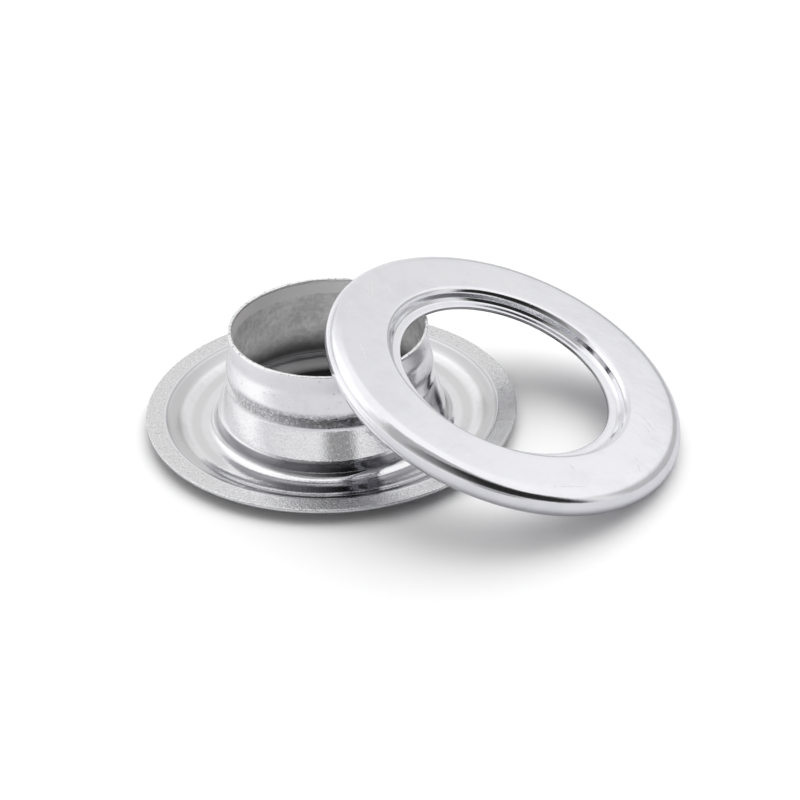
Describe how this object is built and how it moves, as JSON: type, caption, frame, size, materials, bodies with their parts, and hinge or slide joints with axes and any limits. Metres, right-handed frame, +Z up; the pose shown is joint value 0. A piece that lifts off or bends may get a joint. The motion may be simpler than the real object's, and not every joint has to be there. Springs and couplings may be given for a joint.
{
  "type": "grommet eyelet",
  "caption": "Flanged barrel eyelet standing on its show face with its rolled-edge ring washer leaning on the rim, as a loose set before pressing.",
  "frame": {"origin": "on the ground plane, under the middle of the set's box", "axes": "+Z up, along the barrel of the eyelet; +X the way the washer leans down to the ground; the set is symmetric about the XZ plane"},
  "size_m": [0.048, 0.0334, 0.0131],
  "materials": {
    "eyelet_metal": "bright drawn sheet, lightly grained where it was pressed",
    "washer_metal": "bright polished sheet"
  },
  "bodies": {
    "root": {"eyelet": "eyelet_metal", "washer": "washer_metal"}
  },
  "joints": []
}
